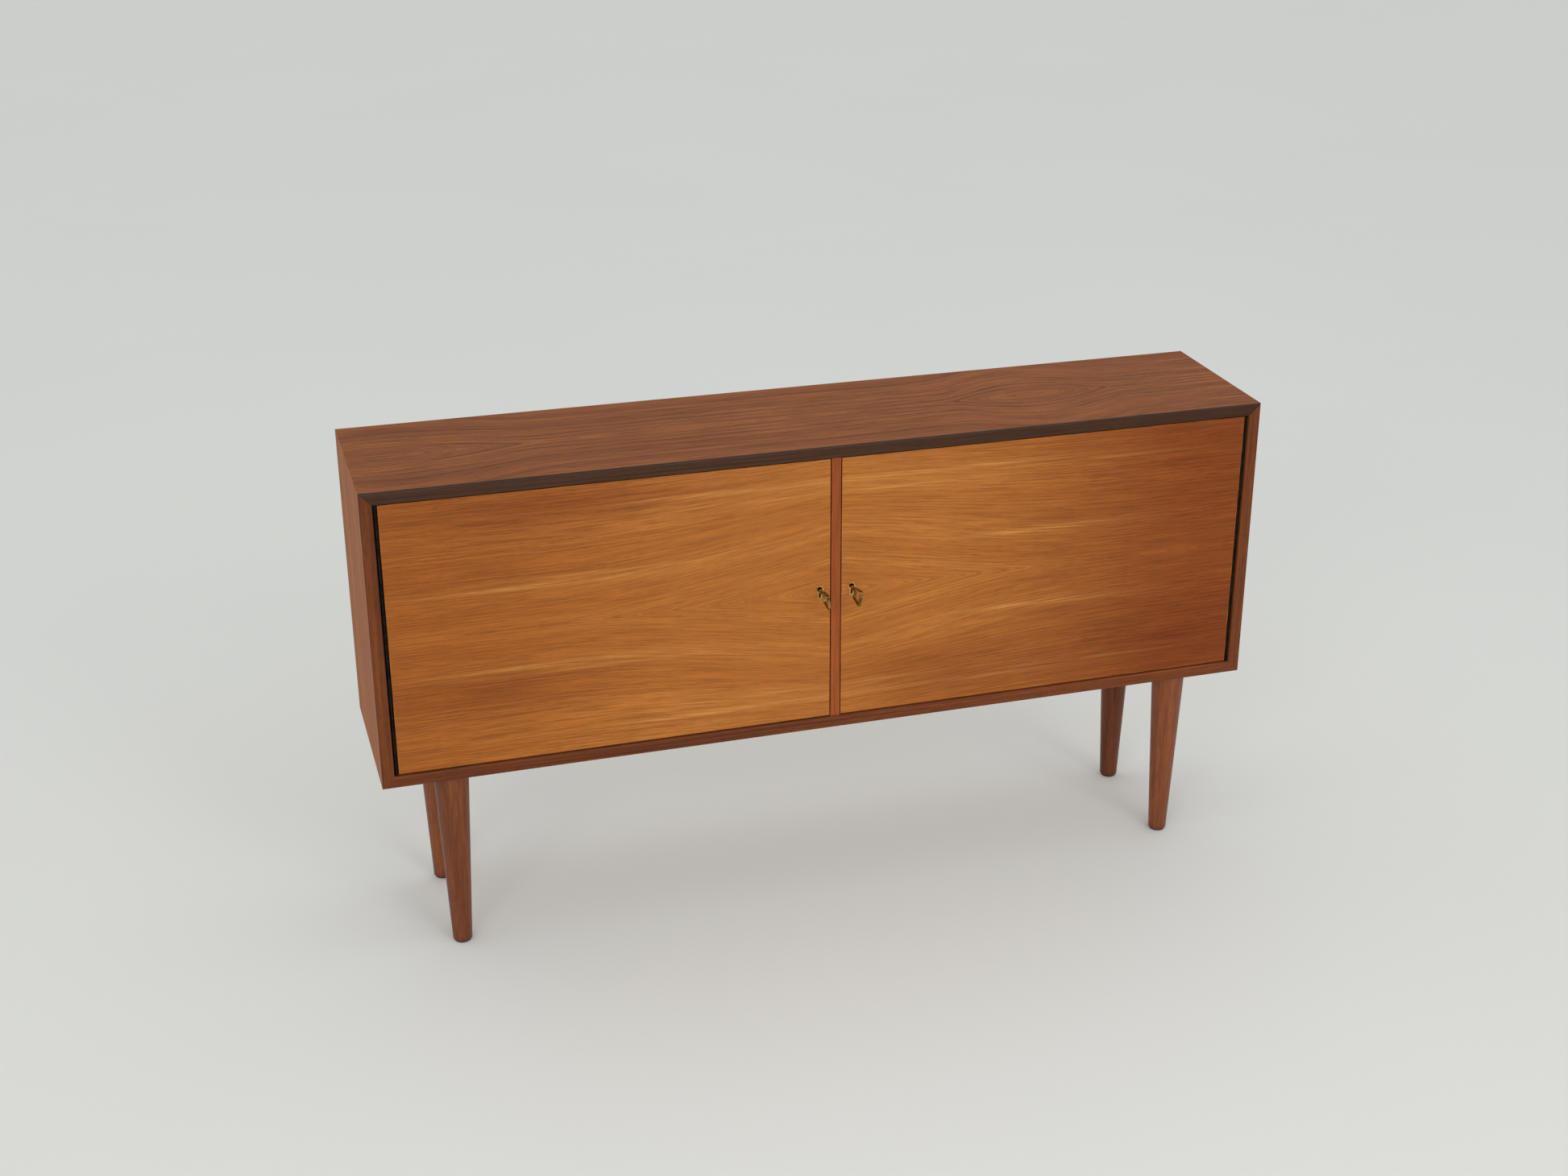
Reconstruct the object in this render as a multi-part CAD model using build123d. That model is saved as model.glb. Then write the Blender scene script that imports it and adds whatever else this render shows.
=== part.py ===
from build123d import *

import math
import os

# Two-door sideboard on four round tapered legs. Millimetres, +Z up, doors facing -Y.
# The origin is on the floor, under the middle of the whole object with its keys.

# ---------------------------------------------------------------- driving sizes
CASE_WIDTH = 1300.0
CASE_HEIGHT = 432.0
CASE_DEPTH = 268.0
LEG_HEIGHT = 280.0  # floor to the underside of the case, glide included
PANEL = 17.5  # thickness of the mitred case panels
LIPPING = 4.0  # depth of the solid strips on the front edges of the case
PARTITION_LIPPING = 8.0  # depth of the strip on the front edge of the centre partition
ARRIS = 2.5  # rounding of the long front edges of the strips

# Doors, inset and set back a little from the front edges of the case
DOOR_SETBACK = 3.0
DOOR_THICKNESS = 16.0
DOOR_TOP_GAP = 1.5
DOOR_BOTTOM_GAP = 2.0
DOOR_MEETING_GAP = 1.7  # between a door's free edge and the centre partition
HINGE_GAP = 6.4  # between a door's hinged edge and the side of the case
PARTITION = 13.6

# Continuous hinges
KNUCKLE_RADIUS = 2.7
HINGE_PIN_RADIUS = 1.5
HINGE_RUNNING_FIT = 0.05  # radial clearance of the moving knuckles on their pin
LEAF_THICKNESS = 1.0
LEAF_DEPTH = 13.0  # from the pin's axis to the back edge of a leaf
LEAF_START = 2.1  # from the pin's axis to where the flat leaf begins
HINGE_AXIS_DEPTH = 2.4  # behind the front face of the door
HINGE_END_GAP = 0.5
KNUCKLES = 31
KNUCKLE_GAP = 0.4
HINGE_SCREWS = 6

# Locks, keys and keyhole inserts
BACKSET = 15.2  # from a door's free edge to the axis of its key
KEY_AXIS_ABOVE_CASE_BOTTOM = 218.6
KEY_LEANS = {"right": 10.8, "left": 5.9}  # degrees the unlocked key leans from upright
KEY_STEM_RADIUS = 2.6
KEY_STEM_OUT = 18.0  # from the door's front face to inside the bow
BOW_START = 17.0
BOW_END = 42.5
BOW_INNER_HEIGHT = 16.5
BOW_OUTER_HEIGHT = 23.0
BOW_OFFSET = 3.0  # the bow sits this much below the axis of the stem
BOW_STRIP = 2.0
BOW_WIDTH = 4.0
BIT_REACH = 5.2
BIT_WIDTH = 2.0
INSERT_HEAD_RADIUS = 5.2
INSERT_WALL = 1.2
INSERT_SLOT_WIDTH = 6.0
INSERT_LENGTH = 19.0
INSERT_DEPTH = 4.0
INSERT_PROUD = 0.3
INSERT_LIFT = 0.8  # the insert's head sits this much above the key's axis
BOLT_PIN_RADIUS = 1.0
BOLT_PIN_ORBIT = 4.0  # radius on which the hub's drive pin turns
LOCK_HEIGHT = 64.0
LOCK_WIDTH = 36.0
LOCK_PLATE = 1.2
LOCK_CASE_HEIGHT = 44.0
LOCK_CASE_WIDTH = 28.0
LOCK_WALL = 1.0
LOCK_FRONT = 7.0  # depth of the lock case's front face behind the door's front face
LOCK_FIT = 0.25  # play round the lock case in its pocket
MORTISE_DEPTH = 4.4

# Depths behind the door's front face of the layers inside a lock
HUB_NECK = 7.05
HUB_DISC_FRONT = 8.2
HUB_DISC_BACK = 11.2
BOLT_FRONT = 11.5
BOLT_BACK = 14.0
HUB_STUB_END = 15.6

# Back panel, shelves and their fasteners
BACK_THICKNESS = 5.0
REBATE_DEPTH = 6.0
REBATE_WIDTH = 8.5
SHELF_THICKNESS = 16.0
SHELF_SETBACK = 14.0  # behind the inner face of the doors
SHELF_UNDERSIDE = 196.0  # above the underside of the case
SHELF_END_PLAY = 0.5
PIN_RADIUS = 2.5
PIN_STAND_OUT = 8.0
PIN_FLAT = 1.5  # the shelf rests this much above the axis of its pins
PIN_PITCH = 32.0
PIN_DEPTH_SIDE = 8.0
PIN_DEPTH_PARTITION = 5.5
PIN_INSET_FRONT = 45.0
PIN_INSET_BACK = 210.0

# Legs
LEG_TOP_RADIUS = 25.0
LEG_FOOT_RADIUS = 13.7
LEG_FOOT_ROUND = 1.2
LEG_FROM_END = 98.5
LEG_FROM_FACE = 40.0
GLIDE_HEIGHT = 3.0
GLIDE_RADIUS = 11.5
GLIDE_NAIL_RADIUS = 1.5
GLIDE_NAIL_LENGTH = 12.0
LEG_BOLT_RADIUS = 4.0
LEG_BOLT_IN_LEG = 25.0
LEG_BOLT_IN_CASE = 13.0
LEG_INSERT_RADIUS = 6.2

# Joinery
SPLINE_WIDTH = 12.0
SPLINE_THICKNESS = 3.0
DOWEL_RADIUS = 3.0
DOWEL_IN_PANEL = 10.0
DOWEL_IN_PARTITION = 14.0
STOP_WIDTH = 40.0
STOP_DEPTH = 12.0
STOP_HEIGHT = 14.0
STOP_CLEARANCE = 0.3

# ------------------------------------------------------------- derived positions
HALF = CASE_WIDTH / 2
KEY_REACH = BOW_END - DOOR_SETBACK  # how far a key stands in front of the case
FRONT_Y = -(CASE_DEPTH - KEY_REACH) / 2
BACK_Y = FRONT_Y + CASE_DEPTH
BOTTOM_Z = LEG_HEIGHT
TOP_Z = BOTTOM_Z + CASE_HEIGHT
DOOR_Y = FRONT_Y + DOOR_SETBACK
DOOR_BACK_Y = DOOR_Y + DOOR_THICKNESS
INSIDE_BACK_Y = BACK_Y - REBATE_DEPTH
OPENING_X = HALF - PANEL
OPENING_BOTTOM = BOTTOM_Z + PANEL
OPENING_TOP = TOP_Z - PANEL
DOOR_FREE_X = PARTITION / 2 + DOOR_MEETING_GAP
DOOR_HINGED_X = OPENING_X - HINGE_GAP
DOOR_BOTTOM = OPENING_BOTTOM + DOOR_BOTTOM_GAP
DOOR_TOP = OPENING_TOP - DOOR_TOP_GAP
HINGE_X = OPENING_X - HINGE_GAP / 2
HINGE_Y = DOOR_Y + HINGE_AXIS_DEPTH
HINGE_BOTTOM = OPENING_BOTTOM + HINGE_END_GAP
HINGE_TOP = OPENING_TOP - HINGE_END_GAP
KEY_X = DOOR_FREE_X + BACKSET
KEY_Z = BOTTOM_Z + KEY_AXIS_ABOVE_CASE_BOTTOM
DRIVE_X = BOLT_PIN_ORBIT * math.sin(math.radians(45))

TURN = {
    "+X": (0, 90, 0),
    "-X": (0, -90, 0),
    "+Y": (-90, 0, 0),
    "-Y": (90, 0, 0),
    "+Z": (0, 0, 0),
    "-Z": (180, 0, 0),
}


# ---------------------------------------------------------------------- helpers
def block(x, y, z):
    """A box from (low, high) pairs along the three axes."""
    centre = [(low + high) / 2 for low, high in (x, y, z)]
    size = [high - low for low, high in (x, y, z)]
    return Pos(*centre) * Box(*size)


def rod(radius, start, length, direction):
    """A cylinder that begins at a point and runs along one of the six axis directions."""
    return Pos(*start) * Rot(*TURN[direction]) * Pos(0, 0, length / 2) * Cylinder(radius, length)


def prism_along_y(sketch, y_low, y_high):
    """A sketch drawn as (x, z) and run from one depth to another."""
    return Pos(0, y_high, 0) * Rot(90, 0, 0) * extrude(sketch, y_high - y_low)


def screw(head, direction, head_radius, shank_radius, length):
    """A countersunk slotted screw; direction is the way its head faces."""
    head_height = head_radius - shank_radius
    cone = Pos(0, 0, -head_height / 2) * Cone(shank_radius, head_radius, head_height)
    shank = Pos(0, 0, -(length + head_height) / 2) * Cylinder(shank_radius, length - head_height)
    slot = Box(2 * head_radius, 0.3 * head_radius, 0.5 * head_height)
    return Pos(*head) * Rot(*TURN[direction]) * (cone + shank - slot)


def screw_hole(head, direction, head_radius, shank_radius, length):
    """The room a screw of the same sizes takes up."""
    head_height = head_radius - shank_radius
    cone = Pos(0, 0, -head_height / 2) * Cone(shank_radius, head_radius, head_height)
    shank = Pos(0, 0, -length / 2) * Cylinder(shank_radius, length)
    return Pos(*head) * Rot(*TURN[direction]) * (cone + shank)


def keyhole(head_radius, slot_width, length):
    """A keyhole outline, its round head centred on the origin."""
    slot_low = head_radius - length
    slot = Pos(0, slot_low / 2) * Rectangle(slot_width, -slot_low)
    return Circle(head_radius) + slot


def spaced(low, high, count):
    """Evenly spaced numbers with half a space at each end."""
    step = (high - low) / count
    return [low + step * (index + 0.5) for index in range(count)]


def group(solids):
    """Several like solids kept as one node."""
    return Compound(children=list(solids))


def on_side(shape, side):
    """Shapes are drawn for the right-hand side; the left-hand ones are mirrored."""
    if side == "right":
        return shape
    return mirror(shape, about=Plane.YZ)


# ------------------------------------------------------------------ case panels
def frame_member(name, y_low, y_high):
    """One side of the mitred rectangle that the four case panels form."""
    corners = {
        "outer_low": (-HALF, BOTTOM_Z),
        "inner_low": (-OPENING_X, OPENING_BOTTOM),
        "inner_high": (-OPENING_X, OPENING_TOP),
        "outer_high": (-HALF, TOP_Z),
    }
    left = list(corners.values())
    right = [(-x, z) for x, z in left]
    outlines = {
        "left": left,
        "right": right,
        "top": [left[3], left[2], right[2], right[3]],
        "bottom": [left[0], left[1], right[1], right[0]],
    }
    outline = make_face(Polyline(*outlines[name], close=True))
    return prism_along_y(outline, y_low, y_high)


def front_lipping(name):
    """A solid strip on the front edge of one panel, its two long front edges rounded."""
    strip = frame_member(name, FRONT_Y, FRONT_Y + LIPPING)
    along = Axis.X if name in ("top", "bottom") else Axis.Z
    front_edges = strip.edges().filter_by(along).group_by(Axis.Y)[0]
    return fillet(front_edges, ARRIS)


def mitre_splines():
    """Loose tongues that cross the four mitres."""
    middle_y = (FRONT_Y + LIPPING + INSIDE_BACK_Y) / 2
    length = INSIDE_BACK_Y - FRONT_Y - LIPPING - 20
    splines = []
    for x_sign in (-1, 1):
        for z_middle, z_sign in ((BOTTOM_Z + PANEL / 2, -1), (TOP_Z - PANEL / 2, 1)):
            spline = Box(SPLINE_WIDTH, length, SPLINE_THICKNESS)
            angle = 45 * x_sign * z_sign
            centre = Pos(x_sign * (HALF - PANEL / 2), middle_y, z_middle)
            splines.append(centre * Rot(0, angle, 0) * spline)
    return splines


def leg_places():
    """Name and (x, y) of each leg."""
    places = {}
    for end, x in (("left", -HALF + LEG_FROM_END), ("right", HALF - LEG_FROM_END)):
        for face, y in (("front", FRONT_Y + LEG_FROM_FACE), ("back", BACK_Y - LEG_FROM_FACE)):
            places[f"{face}_{end}"] = (x, y)
    return places


def back_screw_places():
    """Heads of the screws round the edge of the back panel, as (x, z)."""
    inset = PANEL - REBATE_WIDTH / 2
    across = spaced(-HALF + inset, HALF - inset, 6)
    up = spaced(BOTTOM_Z + inset, TOP_Z - inset, 2)
    places = [(x, z) for x in across for z in (BOTTOM_Z + inset, TOP_Z - inset)]
    places += [(x, z) for x in (-HALF + inset, HALF - inset) for z in up]
    return places


def shelf_pin_rows(pin_depth, x_face, direction, heights):
    """Rods for pins or their holes in one upright face."""
    rods = []
    for y in (FRONT_Y + PIN_INSET_FRONT, FRONT_Y + PIN_INSET_BACK):
        for z in heights:
            rods.append(rod(PIN_RADIUS, (x_face, y, z), pin_depth, direction))
    return rods


def dowel_places():
    """Depths of the dowels above and below the centre partition."""
    return spaced(DOOR_Y + PARTITION_LIPPING, INSIDE_BACK_Y, 4)


def partition_dowels():
    dowels = []
    length = DOWEL_IN_PANEL + DOWEL_IN_PARTITION
    for y in dowel_places():
        dowels.append(rod(DOWEL_RADIUS, (0, y, OPENING_BOTTOM - DOWEL_IN_PANEL), length, "+Z"))
        dowels.append(rod(DOWEL_RADIUS, (0, y, OPENING_TOP + DOWEL_IN_PANEL), length, "-Z"))
    return dowels


BACK_SCREW = {"head_radius": 3.2, "shank_radius": 1.5, "length": 15.0}
PIN_AXIS_Z = BOTTOM_Z + SHELF_UNDERSIDE - PIN_FLAT
PIN_HOLE_HEIGHTS = [PIN_AXIS_Z - PIN_PITCH, PIN_AXIS_Z, PIN_AXIS_Z + PIN_PITCH]


def case_nodes():
    nodes = {}
    rebate = block(
        (-OPENING_X - REBATE_WIDTH, OPENING_X + REBATE_WIDTH),
        (INSIDE_BACK_Y, BACK_Y + 1),
        (OPENING_BOTTOM - REBATE_WIDTH, OPENING_TOP + REBATE_WIDTH),
    )
    splines = mitre_splines()
    dowels = partition_dowels()
    back_heads = [(x, BACK_Y - 1, z) for x, z in back_screw_places()]
    back_holes = [screw_hole(head, "+Y", **BACK_SCREW) for head in back_heads]

    panels = {}
    for name in ("top", "bottom", "left", "right"):
        panels[name] = frame_member(name, FRONT_Y + LIPPING, BACK_Y) - rebate
        panels[name] -= splines
        panels[name] -= back_holes
        nodes[f"front_lipping_{name}"] = front_lipping(name)

    panels["top"] -= dowels
    panels["bottom"] -= dowels
    for x, y in leg_places().values():
        panels["bottom"] -= rod(LEG_INSERT_RADIUS, (x, y, BOTTOM_Z), LEG_BOLT_IN_CASE, "+Z")
    panels["right"] -= shelf_pin_rows(PIN_DEPTH_SIDE, OPENING_X, "+X", PIN_HOLE_HEIGHTS)
    panels["left"] -= shelf_pin_rows(PIN_DEPTH_SIDE, -OPENING_X, "-X", PIN_HOLE_HEIGHTS)
    panels["right"] -= [screw_hole(*place, **HINGE_SCREW) for place in hinge_screw_places("fixed")]
    panels["left"] -= [
        on_side(screw_hole(*place, **HINGE_SCREW), "left") for place in hinge_screw_places("fixed")
    ]
    nodes["top_panel"] = panels["top"]
    nodes["bottom_panel"] = panels["bottom"]
    nodes["side_panel_left"] = panels["left"]
    nodes["side_panel_right"] = panels["right"]
    nodes["mitre_splines"] = group(splines)
    nodes["partition_dowels"] = group(dowels)

    back = block(
        (-OPENING_X - REBATE_WIDTH, OPENING_X + REBATE_WIDTH),
        (INSIDE_BACK_Y, INSIDE_BACK_Y + BACK_THICKNESS),
        (OPENING_BOTTOM - REBATE_WIDTH, OPENING_TOP + REBATE_WIDTH),
    )
    nodes["back_panel"] = back - back_holes
    nodes["back_panel_screws"] = group(screw(head, "+Y", **BACK_SCREW) for head in back_heads)

    height = (OPENING_BOTTOM, OPENING_TOP)
    width = (-PARTITION / 2, PARTITION / 2)
    partition = block(width, (DOOR_Y + PARTITION_LIPPING, INSIDE_BACK_Y), height) - dowels
    partition -= shelf_pin_rows(PIN_DEPTH_PARTITION, PARTITION / 2, "-X", PIN_HOLE_HEIGHTS)
    partition -= shelf_pin_rows(PIN_DEPTH_PARTITION, -PARTITION / 2, "+X", PIN_HOLE_HEIGHTS)
    mortise = bolt_mortise()
    nodes["centre_partition"] = partition - [on_side(mortise, side) for side in KEY_LEANS]
    nodes["partition_lipping"] = block(width, (DOOR_Y, DOOR_Y + PARTITION_LIPPING), height)
    return nodes


def shelf_nodes(side):
    """A loose shelf, its four pins and the block that its door closes against."""
    x = (PARTITION / 2 + SHELF_END_PLAY, OPENING_X - SHELF_END_PLAY)
    y = (DOOR_BACK_Y + SHELF_SETBACK, INSIDE_BACK_Y - 1)
    z_low = BOTTOM_Z + SHELF_UNDERSIDE
    shelf = block(x, y, (z_low, z_low + SHELF_THICKNESS))

    above_flat = block((0, HALF), (FRONT_Y, BACK_Y), (z_low, z_low + PIN_PITCH))
    side_start = OPENING_X + PIN_DEPTH_SIDE
    partition_start = PARTITION / 2 - PIN_DEPTH_PARTITION
    side_pins = shelf_pin_rows(PIN_DEPTH_SIDE + PIN_STAND_OUT, side_start, "-X", [PIN_AXIS_Z])
    inner_pins = shelf_pin_rows(
        PIN_DEPTH_PARTITION + PIN_STAND_OUT, partition_start, "+X", [PIN_AXIS_Z]
    )
    flat_side = above_flat & block((0, OPENING_X), (FRONT_Y, BACK_Y), (0, TOP_Z))
    flat_inner = above_flat & block((PARTITION / 2, HALF), (FRONT_Y, BACK_Y), (0, TOP_Z))
    pins = [pin - flat_side for pin in side_pins] + [pin - flat_inner for pin in inner_pins]

    stop_x = DOOR_FREE_X + LOCK_WIDTH
    stop = block(
        (stop_x, stop_x + STOP_WIDTH),
        (DOOR_BACK_Y + STOP_CLEARANCE, DOOR_BACK_Y + STOP_CLEARANCE + STOP_DEPTH),
        (OPENING_TOP - STOP_HEIGHT, OPENING_TOP),
    )
    return {
        f"shelf_{side}": on_side(shelf, side),
        f"shelf_pins_{side}": group(on_side(pin, side) for pin in pins),
        f"door_stop_{side}": on_side(stop, side),
    }


# ------------------------------------------------------------------------- legs
def leg_nodes():
    nodes = {}
    bolts = []
    inserts = []
    for name, (x, y) in leg_places().items():
        leg_length = LEG_HEIGHT - GLIDE_HEIGHT
        leg = Pos(0, 0, leg_length / 2) * Cone(LEG_FOOT_RADIUS, LEG_TOP_RADIUS, leg_length)
        foot_edge = leg.edges().filter_by(GeomType.CIRCLE).sort_by(Axis.Z)[0]
        leg = Pos(x, y, GLIDE_HEIGHT) * fillet(foot_edge, LEG_FOOT_ROUND)
        bolt_start = (x, y, BOTTOM_Z - LEG_BOLT_IN_LEG)
        bolt = rod(LEG_BOLT_RADIUS, bolt_start, LEG_BOLT_IN_LEG + LEG_BOLT_IN_CASE, "+Z")
        nail = rod(GLIDE_NAIL_RADIUS, (x, y, GLIDE_HEIGHT), GLIDE_NAIL_LENGTH, "+Z")
        disc = rod(GLIDE_RADIUS, (x, y, 0), GLIDE_HEIGHT, "+Z")
        insert = rod(LEG_INSERT_RADIUS, (x, y, BOTTOM_Z), LEG_BOLT_IN_CASE, "+Z")
        nodes[f"leg_{name}"] = leg - bolt - nail
        nodes[f"glide_{name}"] = disc + nail
        bolts.append(bolt)
        inserts.append(insert - bolt)
    nodes["leg_bolts"] = group(bolts)
    nodes["leg_inserts"] = group(inserts)
    return nodes


# ----------------------------------------------------------------------- hinges
HINGE_SCREW = {"head_radius": 2.4, "shank_radius": 1.3, "length": 12.0}


def hinge_screw_places(leaf):
    """Head place and facing of each screw in one leaf of the right-hand hinge."""
    y = HINGE_Y + (LEAF_START + LEAF_DEPTH) / 2
    reach = HINGE_GAP / 2 - LEAF_THICKNESS
    x, facing = (HINGE_X + reach, "-X") if leaf == "fixed" else (HINGE_X - reach, "+X")
    return [((x, y, z), facing) for z in spaced(HINGE_BOTTOM, HINGE_TOP, HINGE_SCREWS)]


def hinge_leaf(leaf):
    """A leaf with every other knuckle, wrapped round the pin from its own side."""
    sign = 1 if leaf == "fixed" else -1
    inner = HINGE_GAP / 2 - LEAF_THICKNESS
    bore = HINGE_PIN_RADIUS if leaf == "fixed" else HINGE_PIN_RADIUS + HINGE_RUNNING_FIT
    plate_x = sign * (inner + LEAF_THICKNESS / 2)
    plate = Pos(plate_x, LEAF_DEPTH / 2) * Rectangle(LEAF_THICKNESS, LEAF_DEPTH)
    profile = Circle(KNUCKLE_RADIUS) + plate - Circle(bore)
    length = HINGE_TOP - HINGE_BOTTOM
    solid = extrude(profile, length)

    pitch = length / KNUCKLES
    first_other = 1 if leaf == "fixed" else 0
    notches = []
    for index in range(first_other, KNUCKLES, 2):
        low = index * pitch - KNUCKLE_GAP / 2
        high = (index + 1) * pitch + KNUCKLE_GAP / 2
        notches.append(block((-PANEL, PANEL), (-PANEL, LEAF_START), (low, high)))
        notches.append(block((-inner, inner), (0, KNUCKLE_RADIUS + 1), (low, high)))
    holes = [screw_hole(*place, **HINGE_SCREW) for place in hinge_screw_places(leaf)]
    return Pos(HINGE_X, HINGE_Y, HINGE_BOTTOM) * (solid - notches) - holes


def hinge_nodes(side):
    pin = rod(HINGE_PIN_RADIUS, (HINGE_X, HINGE_Y, HINGE_BOTTOM), HINGE_TOP - HINGE_BOTTOM, "+Z")
    nodes = {f"hinge_pin_{side}": on_side(pin, side)}
    for leaf, word in (("fixed", "case"), ("moving", "door")):
        screws = [screw(*place, **HINGE_SCREW) for place in hinge_screw_places(leaf)]
        nodes[f"hinge_leaf_{word}_{side}"] = on_side(hinge_leaf(leaf), side)
        nodes[f"hinge_screws_{word}_{side}"] = group(on_side(one, side) for one in screws)
    return nodes


# ------------------------------------------------------------------------ locks
LOCK_SCREW = {"head_radius": 2.4, "shank_radius": 1.3, "length": 9.0}
LOCK_X = (DOOR_FREE_X, DOOR_FREE_X + LOCK_WIDTH)
LOCK_Z = (KEY_Z - LOCK_HEIGHT / 2, KEY_Z + LOCK_HEIGHT / 2)
COVER_FRONT = DOOR_THICKNESS - LOCK_PLATE
BOLT_Z = (KEY_Z - 5.0, KEY_Z + 7.6)
BOLT_TIP_X = DOOR_FREE_X + 0.2
BOLT_SLOT_PLAY = 0.45  # each side of the drive pin
BOLT_GUIDE_PLAY = 0.35
STUB_RADIUS = 1.8
NECK_RADIUS = 4.2
DISC_RADIUS = 6.5


def in_door(x, depth, z):
    """A box in the door, its depths counted back from the door's front face."""
    return block(x, (DOOR_Y + depth[0], DOOR_Y + depth[1]), z)


def on_key_axis(sketch, depth_low, depth_high):
    """A sketch centred on the key's axis and run between two depths."""
    solid = prism_along_y(sketch, DOOR_Y + depth_low, DOOR_Y + depth_high)
    return Pos(KEY_X, 0, KEY_Z) * solid


def lock_screw_places():
    places = []
    for x in (LOCK_X[0] + 6, LOCK_X[1] - 5):
        for z in (LOCK_Z[0] + 5, LOCK_Z[1] - 5):
            places.append(((x, DOOR_BACK_Y, z), "+Y"))
    return places


def lock_case():
    """An open tray that holds the bolt and the front journal of the hub."""
    x = (DOOR_FREE_X + LOCK_PLATE, DOOR_FREE_X + LOCK_PLATE + LOCK_CASE_WIDTH)
    z = (KEY_Z - LOCK_CASE_HEIGHT / 2, KEY_Z + LOCK_CASE_HEIGHT / 2)
    tray = in_door(x, (LOCK_FRONT, COVER_FRONT), z)
    room = in_door(
        (x[0] - 1, x[1] - LOCK_WALL),
        (LOCK_FRONT + LOCK_WALL, COVER_FRONT + 1),
        (z[0] + LOCK_WALL, z[1] - LOCK_WALL),
    )
    journal = Circle(NECK_RADIUS + HINGE_RUNNING_FIT)
    bit_way = Pos(0, -BIT_REACH / 2 - 0.2) * Rectangle(BIT_WIDTH + 0.6, BIT_REACH + 0.4)
    return tray - room - on_key_axis(journal + bit_way, LOCK_FRONT - 1, LOCK_FRONT + LOCK_WALL + 1)


def lock_cover():
    """The cover flush with the inside of the door, bent forward along the door's free edge."""
    cover = in_door(LOCK_X, (COVER_FRONT, DOOR_THICKNESS), LOCK_Z)
    edge = in_door((LOCK_X[0], LOCK_X[0] + LOCK_PLATE), (LOCK_FRONT, DOOR_THICKNESS), LOCK_Z)
    bolt_way = in_door(
        (LOCK_X[0] - 1, LOCK_X[0] + LOCK_PLATE + 1),
        (BOLT_FRONT - BOLT_GUIDE_PLAY, BOLT_BACK + BOLT_GUIDE_PLAY),
        (BOLT_Z[0] - BOLT_GUIDE_PLAY, BOLT_Z[1] + BOLT_GUIDE_PLAY),
    )
    journal = Circle(STUB_RADIUS + HINGE_RUNNING_FIT)
    cover = cover + edge - bolt_way - on_key_axis(journal, COVER_FRONT - 1, DOOR_THICKNESS + 1)
    return cover - [screw_hole(*place, **LOCK_SCREW) for place in lock_screw_places()]


def lock_bolt():
    """The sliding bolt, drawn back, with a notch for the drive pin and a slot for the hub."""
    tail_x = KEY_X + 11
    bolt = in_door((BOLT_TIP_X, tail_x), (BOLT_FRONT, BOLT_BACK), BOLT_Z)
    notch_half = BOLT_PIN_RADIUS + BOLT_SLOT_PLAY
    depth = (BOLT_FRONT - 1, BOLT_BACK + 1)
    notch = in_door(
        (KEY_X + DRIVE_X - notch_half, KEY_X + DRIVE_X + notch_half),
        depth,
        (KEY_Z, KEY_Z + BOLT_PIN_ORBIT + notch_half),
    )
    slot_half = STUB_RADIUS + 0.4
    throw = 2 * DRIVE_X
    slot = in_door(
        (KEY_X - slot_half, KEY_X + throw + slot_half),
        depth,
        (KEY_Z - slot_half, KEY_Z + slot_half),
    )
    return bolt - notch - slot


def lock_hub(lean):
    """The turning hub: front neck, disc, drive pin and rear stub, with the key's way cut in."""
    neck = on_key_axis(Circle(NECK_RADIUS), HUB_NECK, HUB_DISC_FRONT)
    disc = on_key_axis(Circle(DISC_RADIUS), HUB_DISC_FRONT, HUB_DISC_BACK)
    stub = on_key_axis(Circle(STUB_RADIUS), HUB_DISC_BACK, HUB_STUB_END)
    pin_place = Pos(DRIVE_X, DRIVE_X)
    pin = on_key_axis(pin_place * Circle(BOLT_PIN_RADIUS), HUB_DISC_BACK, BOLT_BACK - 0.2)
    way = Circle(KEY_STEM_RADIUS + HINGE_RUNNING_FIT)
    way += Pos(0, -BIT_REACH / 2) * Rectangle(BIT_WIDTH + 0.2, BIT_REACH + 0.3)
    key_way = on_key_axis(Rot(0, 0, -lean) * way, HUB_NECK - 1, HUB_DISC_BACK - 0.6)
    return neck + disc + stub + pin - key_way


def key(lean):
    """Stem, bit and a bow bent from flat strip, upright before it is leaned over."""
    stem = rod(KEY_STEM_RADIUS, (0, -KEY_STEM_OUT, 0), KEY_STEM_OUT + HUB_DISC_BACK - 0.8, "+Y")
    bit = block(
        (-BIT_WIDTH / 2, BIT_WIDTH / 2),
        (HUB_DISC_FRONT + 0.2, HUB_DISC_BACK - 0.8),
        (-BIT_REACH, 0),
    )
    inner, outer = BOW_INNER_HEIGHT / 2, BOW_OUTER_HEIGHT / 2
    outline = Polygon(
        (BOW_START, inner),
        (BOW_END, outer),
        (BOW_END, -outer),
        (BOW_START, -inner),
        align=None,
    )
    outline = fillet(outline.vertices(), 3.0)
    ring = outline - offset(outline, -BOW_STRIP)
    bow = Plane(origin=(0, 0, -BOW_OFFSET), x_dir=(0, -1, 0), z_dir=(-1, 0, 0)) * ring
    bow = extrude(bow, BOW_WIDTH / 2, both=True)
    rounded = [edge for edge in bow.edges() if abs(abs(edge.center().X) - BOW_WIDTH / 2) < 0.01]
    bow = fillet(rounded, 0.5)
    return Pos(KEY_X, DOOR_Y, KEY_Z) * Rot(0, lean, 0) * (stem + bit + bow)


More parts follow.
